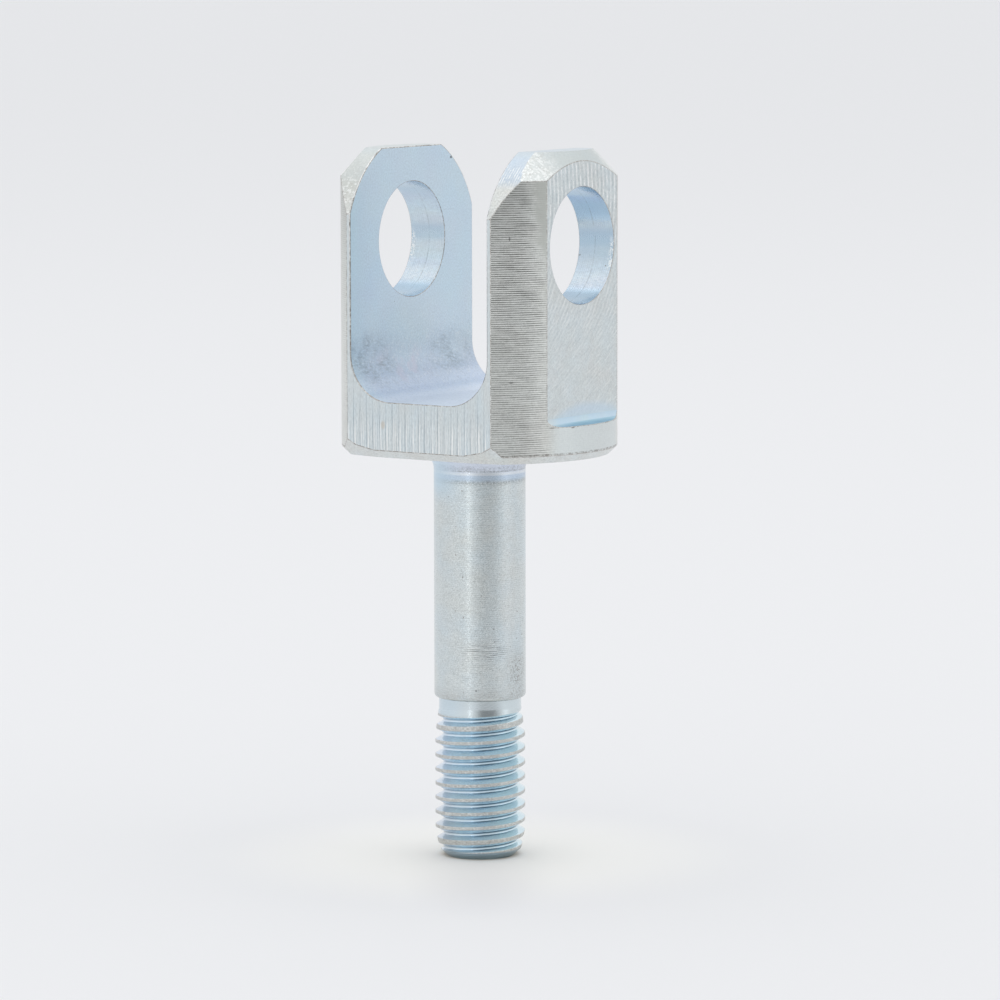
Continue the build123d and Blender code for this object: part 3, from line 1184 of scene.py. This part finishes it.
def ear_flat(looks, sizes):
    """Outer flats of the ears: arcs left by a milling cutter fed across them, and a blue foot."""
    cutter_radius, cutter_height = 17.3, 4.5
    finish = Finish(
        "ear_flat", ground=looks.zinc, tint=(looks.olive, 0.2), shade=(looks.warm, 0.08),
        roughness=0.32, patch_size=2.5, mottle=0.55, mottle_size=0.16,
    )
    graph, y, z, head = finish.graph, finish.y, finish.z, sizes.head
    rise = z - cutter_height
    sweep = graph.math("SQRT", cutter_radius ** 2 - rise * rise)
    groove, shine = finish.marks(
        y - sweep, z, pitch=0.594, depth=0.005, width=0.5, shine_width=0.34,
        wander=0.4, unevenness=1.0, streak_length=0.9,
        strength=z.ramp(-1.0, 3.0, to=(0.45, 1.0)) * z.ramp(-10.0, -5.0, to=(0.25, 1.0)),
    )
    # Painted highlights on the ridges of the milled arcs, and painted shade in their grooves.
    finish.tint(shine, 1.0, looks.white)
    finish.tint(groove, 0.36, looks.blue_groove)
    leaning = graph.vector((z - y * 0.6) * 4.6, y * 0.6)
    scratches = graph.noise(leaning, 1.0, detail=3.0)
    below = z.ramp(-3.0, -7.0)
    finish.tint(scratches.ramp(0.54, 0.70) * below, 0.3, looks.bright)
    finish.tint(scratches.ramp(0.42, 0.30) * below, 0.16, looks.blue_groove)
    ring_top = head.ring_height - head.base_depth
    wedge = finish.near((head.ear_span / 2, 0.8, ring_top), size=(2.0, 6.7, 2.1), core=0.6)
    finish.tint(wedge, 0.55, looks.sky)
    low = z.ramp(ring_top + 1.1, ring_top + 0.5)
    finish.tint(low * y.ramp(-5.5, -3.5), 0.25, looks.pale_teal)
    finish.grain(size=0.12, depth=0.002)
    finish.specks(0.7, looks.dirt, spacing=1.4, size=0.12, share=0.25)
    return finish.finished()


def ear_foot(looks, sizes):
    """Concave radius where an outer flat meets the ring: blue, and teal at its lowest."""
    finish = Finish(
        "ear_foot", ground=looks.sky, tint=(looks.zinc, 0.2), shade=(looks.pale_teal, 0.2),
        roughness=0.3, patch_size=2.0, mottle=0.1, mottle_size=0.3,
    )
    y, outward = finish.y, abs(finish.x) - sizes.head.ear_span / 2
    front_end = y.ramp(-3.6, -5.2)
    finish.tint(front_end, 0.7, looks.zinc)
    along = y.ramp(-4.8, -1.0, to=(0.35, 0.9)) * y.ramp(8.5, 5.0, to=(0.35, 1.0))
    lowest = outward.ramp(0.14, 0.25)
    finish.tint(lowest * along, 1.0, looks.teal)
    return finish.finished()


def tip_cone(looks, sizes):
    """Turned chamfer at the tips: coarse, sugary grain towards the front and back, else smoother."""
    finish = Finish(
        "tip_cone", ground=looks.zinc, tint=(looks.olive, 0.2), shade=(looks.cream, 0.2),
        roughness=0.36, patch_size=2.0, mottle=0.6, mottle_size=0.16,
    )
    sugar = (abs(finish.y) + finish.noise(0.9, detail=3.0)).ramp(3.2, 5.6)
    # Painted light: the chamfer duller over the right ear and whiter over the left.
    finish.tint(finish.by_ear(0.0, 1.0), 0.6, looks.dull_zinc)
    finish.tint(sugar, finish.by_ear(0.95, 0.35), looks.sugar)
    finish.tint(finish.by_ear(1.0, 0.0), 0.2, looks.white)
    glint = finish.grain(size=0.17, depth=0.011)
    finish.tint(glint.ramp(0.66, 0.74) * sugar, 0.6, looks.bright)
    patchy = sugar * finish.clouds(0.9, 0.4, 0.6)
    finish.tint(glint.ramp(0.34, 0.26) * patchy, 0.3, looks.crest)
    finish.tint(patchy * finish.clouds(0.16, 0.46, 0.36, detail=3.0), 0.4, looks.crest)
    return finish.finished()


def tip_round(looks, sizes):
    """Rounded tips of the ears: cream, and blue with slanted dashes of painted highlight near the top."""
    finish = Finish(
        "tip_round", ground=looks.cream, tint=(looks.sugar, 0.3), shade=(looks.zinc, 0.3),
        roughness=0.34, patch_size=1.5, mottle=0.8, mottle_size=0.16, swing=1.5,
    )
    x, z = finish.x, finish.z
    finish.tint(finish.by_ear(0.4, 0.2), 1.0, looks.olive)
    finish.tint(z.ramp(3.5, 5.0) * finish.by_ear(1.0, 0.0), 0.65, looks.worn_olive)
    high = z.ramp(4.9, 5.9) * finish.by_ear(0.15, 1.0)
    finish.tint(high, 0.5, looks.deep_blue)
    top = z.ramp(7.4, 8.0)
    finish.tint(top, 0.5, looks.zinc)
    _, shine = finish.marks(
        x, z, pitch=0.245, depth=0.007, width=0.5, shine_width=0.7, wander=0.6,
        unevenness=1.0, streak_length=0.4, strength=high * z.ramp(7.2, 6.5),
    )
    # Painted highlights: slanted bright dashes near the top.
    finish.tint(shine, 1.0, looks.bright)
    glint = finish.grain(size=0.15, depth=0.005)
    lower = z.ramp(6.5, 4.5, to=(0.25, 1.0)) * finish.by_ear(1.0, 0.45)
    finish.tint(glint.ramp(0.72, 0.78) * lower, 0.6, looks.bright)
    finish.tint(glint.ramp(0.16, 0.10) * lower, 0.5, looks.crest)
    return finish.finished()


def base_bevel(looks, sizes):
    """Underside, base chamfer, bevels and corner facets: matt beige grey."""
    finish = Finish(
        "base_bevel", ground=looks.pale, tint=(looks.warm, 0.25), shade=(looks.cream, 0.15),
        roughness=0.42, patch_size=2.0, mottle=0.6, mottle_size=0.16,
    )
    finish.grain(size=0.14, depth=0.005)
    finish.specks(0.6, looks.burr, spacing=1.2, size=0.12, share=0.25)
    return finish.finished()


def plain_shank(looks, sizes):
    """Turned shank with faint marks and scattered specks, and smudged rings under the head; painted
    highlights and shade on the marks and a ring, and painted reflections.
    """
    finish = Finish(
        "plain_shank", ground=looks.zinc, tint=(looks.olive, 0.4), shade=(looks.blue, 0.1),
        roughness=0.25, patch_size=3.0, mottle=0.7, mottle_size=0.12,
    )
    x, z, shank_end = finish.x, finish.z, sizes.shank.end
    scratched = finish.near((2.7, -3.0, -35.3), size=(3.0, 2.6, 1.3))
    groove, shine = finish.marks(
        z, finish.around, pitch=0.17, depth=0.003, width=0.8, shine_width=0.6, wander=1.0,
        unevenness=1.0, streak_length=1.6, strength=scratched * 0.8 + x.ramp(0.8, 1.8, to=(0.12, 0.24)),
    )
    # Painted shade in the marks' grooves and painted highlights on their flanks, stronger on the +X side
    # and in the scratched patch.
    finish.tint(groove, 0.6, looks.groove)
    finish.tint(shine, 0.5, looks.bright)
    glint = finish.grain(size=0.09, depth=0.0034)
    finish.tint(glint.ramp(0.84, 0.90), 0.2, looks.bright)
    finish.tint(glint.ramp(0.16, 0.10), 0.10, looks.groove)
    finish.specks(0.6, looks.burr, spacing=0.75, size=0.11, share=0.4)
    under = z + sizes.head.base_depth
    collar = under.ramp(-2.6, -0.9)
    finish.tint(collar, 0.75, looks.pale_lavender)
    blue_ring = under.band(-1.95, core=0.1, reach=0.5)
    finish.tint(blue_ring, 0.5, looks.deep_blue)
    # Painted highlight: a thin bright ring on the fillet under the head.
    ring_highlight = under.band(-1.62, core=0.02, reach=0.18)
    finish.tint(ring_highlight, 0.35, looks.bright)
    smudge = finish.noise(5.0, detail=6.0, roughness=0.8).ramp(0.38, 0.66)
    rings = ((-1.15, 0.05, 0.4, 0.45), (-1.38, 0.01, 0.07, 0.6), (-2.35, 0.02, 0.35, 0.5))
    for middle, core, reach, share in rings:
        finish.tint(under.band(middle, core, reach) * smudge, share, looks.groove)
    # Painted reflection: blue over the upper -X side of the shank.
    upper_left_reflection = x.ramp(1.5, -2.5) * under.ramp(-4.5, -2.4)
    finish.tint(upper_left_reflection, 0.8, looks.blue)
    # Painted reflection: a warm upright strip on the +X side of the shank.
    warm_reflection_strip = finish.near((3.8, -1.2, -29.0), size=(1.1, 1.1, 10.0), core=0.5)
    finish.tint(warm_reflection_strip, 0.14, looks.warm)
    soiled = finish.near((4.0, 0.0, -37.4), size=(1.9, 2.4, 3.2), core=0.1)
    finish.tint(soiled * finish.clouds(0.12, 0.48, 0.62, detail=4.0), 0.7, looks.burr)
    low = z.ramp(-shank_end + 1.5, -shank_end + 0.2)
    finish.tint(low * finish.clouds(0.12, 0.45, 0.6), 0.35, looks.burr)
    finish.edge_line(z + (shank_end - 0.03), 0.7, looks.burr, width=0.12, cover=0.7)
    finish.spot((1.93, -3.5, -38.8), size=(0.1, 0.1, 0.1), share=0.9, shade=looks.dirt)
    return finish.finished()


def crest_masks(finish, shank, phase):
    """Masks of the thread's crests and of the neck, and how far inside the end cone a point is."""
    graph, z, radius = finish.graph, finish.z, finish.radius
    formed = z.ramp(-shank.crest_run_top, -shank.crest_run_top - shank.crest_run_length,
                    to=(shank.neck_radius, shank.crest_radius), smooth=False)
    sunk = z.ramp(-shank.end_run_top, -shank.end_run_top - shank.end_run_length,
                  to=(shank.crest_radius, shank.end_crest_radius), smooth=False)
    ragged = (finish.noise(5.0) - 0.5) * 0.10
    crest = (graph.math("MINIMUM", formed, sunk) - (radius + ragged)).ramp(0.06, 0.01)
    gap = z + (shank.thread_end - shank.end_chamfer + shank.crest_radius) - radius
    rim = gap.ramp(0.10, 0.05) * gap.ramp(0.004, 0.010)
    crest = graph.math("MAXIMUM", crest, rim * phase.ramp(0.55, 0.5))
    neck = z.ramp(-shank.root_run_top - 0.45, -shank.root_run_top - 0.2)
    return crest * (1.0 - neck), neck, gap


def rolled_thread(looks, sizes):
    """Neck, rolled thread and end face: blue flanks, matt crests, plain neck."""
    finish = Finish(
        "rolled_thread", ground=looks.flank, tint=(looks.blue, 0.15), shade=(looks.zinc, 0.1),
        roughness=0.15, patch_size=2.0, mottle=0.3, mottle_size=0.16,
    )
    graph, x, y, z, shank = finish.graph, finish.x, finish.y, finish.z, sizes.shank
    # Painted reflections: lavender over the -X half of the thread and pale teal over the back half.
    left_reflection_half, back_reflection_half = x.ramp(-0.2, -3.0), y.ramp(-3.2, -0.5)
    finish.tint(left_reflection_half, 0.52, looks.lavender)
    finish.tint(back_reflection_half, 0.42, looks.pale_teal)
    turns = graph.math("ARCTAN2", y, x) / tau
    phase = graph.math("FRACT", (z + shank.first_crest) / shank.pitch - turns)
    # Painted shade on the flanks that face down.
    facing_down = phase.ramp(0.55, 0.65)
    finish.tint(facing_down, 0.35, looks.down_flank_shade)
    depth = shank.crest_radius - finish.radius
    hollow = phase.ramp(0.515, 0.56) * depth.ramp(0.15, 0.55)
    finish.tint(hollow, 0.22, looks.hollow)
    # Painted shade: dark lines beside the roots, stronger on the +X side.
    dark = phase.ramp(0.49, 0.53) * phase.ramp(0.64, 0.58) * x.ramp(0.6, 1.8, to=(0.35, 1.0))
    finish.tint(dark * depth.ramp(0.42, 0.6), 0.9, looks.hollow)
    lower_left = x.ramp(0.3, -1.2) * z.ramp(-45.0, -52.0)
    finish.tint(lower_left, 0.4, looks.dull_flank)
    crest, neck, gap = crest_masks(finish, shank, phase)
    finish.tint(crest, 0.85, looks.crest)
    finish.roughness = graph.math("MAXIMUM", crest, neck * 0.4).ramp(0.0, 1.0, to=(0.09, 0.4))
    finish.tint(neck, 0.85, looks.zinc)
    # Painted reflection: the neck bluer towards the -X side.
    finish.tint(neck * x.ramp(1.2, -0.8), 0.4, looks.blue)
    shaded = finish.near((2.6, -2.5, -40.8), size=(1.7, 1.7, 1.7))
    finish.tint(neck * shaded, 0.24, looks.groove)
    glint = finish.grain(size=0.10, depth=0.003)
    finish.tint(crest * glint.ramp(0.7, 0.8), 0.35, looks.bright)
    finish.tint(crest * glint.ramp(0.2, 0.1), 0.25, looks.burr)
    end_cone = gap.ramp(0.012, 0.006)
    finish.tint(end_cone, 0.55, looks.end_shade)
    return finish.finished()


def slot_distance(finish, head):
    """How far outside the slot's outline a point lies."""
    graph, radius = finish.graph, head.slot_corner_radius
    side = graph.math("MAXIMUM", abs(finish.x) - (head.slot_width / 2 - radius), 0.0)
    down = graph.math("MAXIMUM", (-head.slot_depth + radius) - finish.z, 0.0)
    return graph.length(side, down) - radius


def broken_edge(looks, sizes):
    """Broken edges: bright plating, with fine brown, torn stretches along the slot, and a painted
    highlight beside the slot's edges.
    """
    finish = Finish(
        "broken_edge", ground=looks.warm, tint=(looks.zinc, 0.4), shade=(looks.cream, 0.25),
        roughness=0.38, patch_size=0.8, mottle=0.8, mottle_size=0.14,
    )
    finish.grain(size=0.12, depth=0.006)
    slot_half = sizes.head.slot_width / 2
    share = abs(finish.x).ramp(slot_half + 0.3, slot_half + 0.1, to=(0.7, 0.95))
    torn = finish.clouds(0.3, 0.40, 0.58, detail=6.0, roughness=0.85)
    finish.tint(torn * share, 0.8, looks.burr)
    # Painted highlight: a bright line just outside the slot's edges, stronger higher up.
    outward = slot_distance(finish, sizes.head)
    outer = outward.ramp(0.02, 0.05) * outward.ramp(0.3, 0.15) * finish.z.ramp(-3.0, 3.0, to=(0.3, 1.0))
    finish.tint(outer * finish.clouds(0.5, 0.42, 0.56, detail=4.0), 0.9, looks.bright)
    return finish.finished()


def make_finishes(looks, head, shank):
    """Every finish by the name of its region."""
    sizes = SimpleNamespace(head=head, shank=shank)
    makers = {
        "round": turned_round, "flat": milled_flat, "slot": slot_wall, "bore": bore_wall,
        "ear": ear_flat, "foot": ear_foot, "cone": tip_cone, "tip": tip_round, "base": base_bevel,
        "shank": plain_shank, "thread": rolled_thread, "edge": broken_edge,
    }
    return {region: maker(looks, sizes) for region, maker in makers.items()}


# ---------------------------------------------------------------- stage

# The sensor is in millimetres and other lengths are in metres. Angles are in degrees, counted from
# the camera to its right. Levels are heights of a direction, from -1 straight down to 1 straight up.
SENSOR_WIDTH = 36.0
NEAREST_SEEN = 0.01
FLOOR_REACH = 6.0
PAPER_ROUGHNESS, PAPER_SHEEN = 0.9, 0.1
WINDOW_SHIFT, WINDOW_OUTER, WINDOW_INNER = 22.0, 52.0, 10.0
FIGURE_SHIFT, FIGURE_OUTER, FIGURE_INNER = 21.0, 34.0, 12.0
BOARD_SHIFT, BOARD_OUTER, BOARD_INNER = 76.0, 18.0, 0.0
WINDOW_TOP_GONE, WINDOW_TOP_FULL = 0.75, 0.35
FIGURE_TOP_GONE, FIGURE_TOP_FULL = 0.5, 0.35
FIGURE_FOOT_GONE, FIGURE_FOOT_FULL = -0.12, 0.10
CEILING_STARTS, CEILING_FULL = 0.2, 0.9


def make_camera(looks):
    """The camera, placed and turned by its named values."""
    azimuth, pitch, roll = looks.camera_azimuth, looks.camera_pitch, looks.camera_roll
    turn = Matrix.Rotation(azimuth, 4, "Z") @ Matrix.Rotation(pi / 2 - pitch, 4, "X")
    turn = turn @ Matrix.Rotation(roll, 4, "Z")
    data = bpy.data.cameras.new("camera")
    data.sensor_width = SENSOR_WIDTH
    data.lens = looks.focal_length
    data.clip_start = NEAREST_SEEN
    data.dof.use_dof = False
    camera = bpy.data.objects.new("camera", data)
    camera.matrix_world = Matrix.Translation(looks.camera_place) @ turn
    bpy.context.scene.collection.objects.link(camera)
    bpy.context.scene.camera = camera


def floor_paper(looks):
    """The floor's paper: painted light round the part's foot, painted shade before it, and a painted warm
    contact shade right under it.
    """
    material = bpy.data.materials.new("floor_paper")
    material.use_nodes = True
    shader = material.node_tree.nodes["Principled BSDF"]
    graph = Graph(material.node_tree)
    position = graph.group("Part Position")["Position"]
    inputs = {"Vector": position, "Angle": -looks.floor_turn}
    turned = graph.result("ShaderNodeVectorRotate", inputs, rotation_type="Z_AXIS")

    def spot(before, half_width, half_length, core):
        """A soft spot on the paper, before the foot by a length."""
        return graph.group("Spot", {
            "Position": turned, "Place": (0.0, -before / MM, CAD_LOW[2] / MM),
            "Size": (half_width / MM, half_length / MM, half_width / MM), "Core": core,
        })["Mask"]

    # Painted light: paler paper round the part's foot.
    near = spot(looks.lit_paper_shift, looks.lit_paper_radius, looks.lit_paper_radius, core=0.3)
    paper = graph.blend(near, opaque(looks.floor), opaque(looks.lit_paper))
    front = spot(looks.shade_shift, looks.shade_half_width, looks.shade_half_length, core=0.0)
    paper = graph.blend(front, paper, opaque(looks.foot_shade), mode="MULTIPLY")
    # Painted shade: a warm contact shade right under the rim.
    reach = MOUNTS["thread"]["dims"]["r_mm"] * MM
    paper = graph.blend(spot(0.0, reach, reach, core=0.7), paper, opaque(looks.warm_contact_shade))
    graph.put(shader.inputs["Base Color"], paper)
    graph.put(shader.inputs["Roughness"], PAPER_ROUGHNESS)
    graph.put(shader.inputs["Specular IOR Level"], PAPER_SHEEN)
    return material


def make_floor(looks):
    """A wide pale floor under the thread's end, with its front edge near the part."""
    turn = Matrix.Rotation(looks.floor_turn, 4, "Z")
    front, back, side = -looks.floor_front, FLOOR_REACH, FLOOR_REACH
    build = bmesh.new()
    corners = []
    for across, ahead in ((-side, front), (side, front), (side, back), (-side, back)):
        corners.append(build.verts.new(turn @ Vector((across, ahead, CAD_LOW[2]))))
    build.faces.new(corners)
    floor = object_of(build, "floor", [floor_paper(looks)])


def make_world(looks):
    """Pale walls that brighten overhead, with a dimmer stretch where the camera looks in."""
    world = bpy.data.worlds.new("studio")
    bpy.context.scene.world = world
    world.use_nodes = True
    world.node_tree.nodes.clear()
    graph = Graph(world.node_tree)
    direction = graph.result("ShaderNodeTexCoord", output="Generated")
    split = graph.results("ShaderNodeSeparateXYZ", {0: direction})
    level = graph.vectors("NORMALIZE", graph.vector(split["X"], split["Y"]))
    up = split["Z"]

    def beside(shift, outer, inner):
        """A mask round a level direction beside the camera, from angles in degrees."""
        middle = looks.camera_azimuth - pi / 2 + radians(shift)
        towards = (cos(middle), sin(middle), 0.0)
        facing = graph.vectors("DOT_PRODUCT", level, towards, output="Value")
        return graph.math("ARCCOSINE", facing).ramp(radians(outer), radians(inner))

    below_top = up.ramp(WINDOW_TOP_GONE, WINDOW_TOP_FULL)
    window = beside(WINDOW_SHIFT, WINDOW_OUTER, WINDOW_INNER) * below_top
    board = beside(BOARD_SHIFT, BOARD_OUTER, BOARD_INNER) * below_top
    figure = beside(FIGURE_SHIFT, FIGURE_OUTER, FIGURE_INNER) * up.ramp(FIGURE_FOOT_GONE, FIGURE_FOOT_FULL)
    figure = figure * up.ramp(FIGURE_TOP_GONE, FIGURE_TOP_FULL)
    height = up.ramp(CEILING_STARTS, CEILING_FULL)
    plain = height.ramp(0.0, 1.0, to=(looks.wall_level, looks.ceiling_level))
    strength = plain - (plain - looks.window_level) * window + board * looks.bounce_level
    strength = graph.result("ShaderNodeMix", {0: figure, 2: strength, 3: looks.camera_level})
    walls = {"Color": opaque(looks.walls), "Strength": strength}
    backdrop = {"Color": opaque(looks.backdrop), "Strength": 1.0}
    shaders = {
        0: graph.result("ShaderNodeLightPath", output="Is Camera Ray"),
        1: graph.result("ShaderNodeBackground", walls),
        2: graph.result("ShaderNodeBackground", backdrop),
    }
    graph.node("ShaderNodeOutputWorld", {"Surface": graph.result("ShaderNodeMixShader", shaders)})


def make_lamp(name, azimuth, elevation, distance, size, power):
    """A soft box that faces the middle of the part. Azimuth is from +X, in degrees."""
    data = bpy.data.lights.new(name, "AREA")
    data.shape = "RECTANGLE"
    data.size, data.size_y = size
    data.energy = power
    lamp = bpy.data.objects.new(name, data)
    around, up = radians(azimuth), radians(elevation)
    outward = Vector((cos(around) * cos(up), sin(around) * cos(up), sin(up)))
    middle = Vector((0, 0, (CAD_LOW[2] + CAD_HIGH[2]) / 2))
    lamp.location = middle + outward * distance
    lamp.rotation_euler = outward.to_track_quat("Z", "Y").to_euler()
    bpy.context.scene.collection.objects.link(lamp)


def make_lamps(looks):
    """Soft boxes: a wide one overhead, and a narrow upright one in front."""
    make_lamp("ceiling", azimuth=124, elevation=82, distance=0.85, size=(0.7, 0.7),
              power=looks.ceiling_power)
    make_lamp("strip", azimuth=-84, elevation=4, distance=0.6, size=(0.012, 0.6),
              power=looks.strip_power)


# ---------------------------------------------------------------- operators


class OBJECT_OT_fork_and_shank(Operator):
    """Build the clevis rod end with its finished surfaces"""

    bl_idname = "object.build_fork_and_shank"
    bl_label = "Build Fork and Shank"

    def execute(self, context):
        head = in_millimetres(context.scene.rod_end_head)
        shank = in_millimetres(context.scene.rod_end_shank)
        edges = in_millimetres(context.scene.rod_end_edges)
        make_groups()
        finish = make_finishes(context.scene.rod_end_finish, head, shank)
        facets = ((head.steep_height, head.steep_rise), (head.shallow_height, head.shallow_rise))
        body = turned_blank(head, shank, edges.head_columns, finish)
        combine(body, side_outline(head, shank, finish), "INTERSECT")
        for side_x in (-1, 1):
            for side_y in (-1, 1):
                for height, rise in facets:
                    tool = corner_facet(head, side_x, side_y, height, rise, finish)
                    combine(body, tool, "DIFFERENCE")
        for side in (-1, 1):
            combine(body, ear_flat_cutter(head, side, finish), "DIFFERENCE")
        combine(body, slot_cutter(head, finish), "DIFFERENCE")
        combine(body, bore_cutter(head, finish), "DIFFERENCE")
        combine(body, make_thread(shank, edges.thread_columns, finish["thread"]), "UNION")
        break_edges(body, edges, head, finish)
        place_in_frame(body)
        return {"FINISHED"}


class SCENE_OT_rod_end_stage(Operator):
    """Set up the floor, world, lamps and camera"""

    bl_idname = "scene.build_rod_end_stage"
    bl_label = "Build Stage"

    def execute(self, context):
        looks = context.scene.rod_end_stage
        make_groups()
        make_camera(looks)
        make_floor(looks)
        make_world(looks)
        make_lamps(looks)
        context.scene.view_settings.view_transform = "Standard"
        return {"FINISHED"}


class VIEW3D_PT_rod_end(Panel):
    """Sidebar panel with the sizes, colours and operators of the rod end"""

    bl_label = "Clevis Rod End"
    bl_space_type = "VIEW_3D"
    bl_region_type = "UI"
    bl_category = "Rod End"

    def draw(self, context):
        layout = self.layout
        for group_name in GROUPS:
            group = getattr(context.scene, group_name)
            box = layout.box()
            box.label(text=GROUPS[group_name].__name__)
            for name in group.__annotations__:
                box.prop(group, name)
        for operator in OPERATORS:
            layout.operator(operator.bl_idname)


GROUPS = {
    "rod_end_head": HeadSizes,
    "rod_end_shank": ShankSizes,
    "rod_end_edges": EdgeSizes,
    "rod_end_finish": FinishLooks,
    "rod_end_stage": StageLooks,
}
OPERATORS = (OBJECT_OT_fork_and_shank, SCENE_OT_rod_end_stage)
CLASSES = (*GROUPS.values(), *OPERATORS, VIEW3D_PT_rod_end)


def register():
    """Registers the classes and hangs the property groups on the scene."""
    for cls in CLASSES:
        bpy.utils.register_class(cls)
    for name, group in GROUPS.items():
        setattr(bpy.types.Scene, name, PointerProperty(type=group))


def unregister():
    """Takes the property groups and classes away again."""
    for name in GROUPS:
        delattr(bpy.types.Scene, name)
    for cls in reversed(CLASSES):
        bpy.utils.unregister_class(cls)


def main():
    """Builds the piece and the stage."""
    register()
    bpy.ops.object.build_fork_and_shank()
    bpy.ops.scene.build_rod_end_stage()


if __name__ == "__main__":
    main()
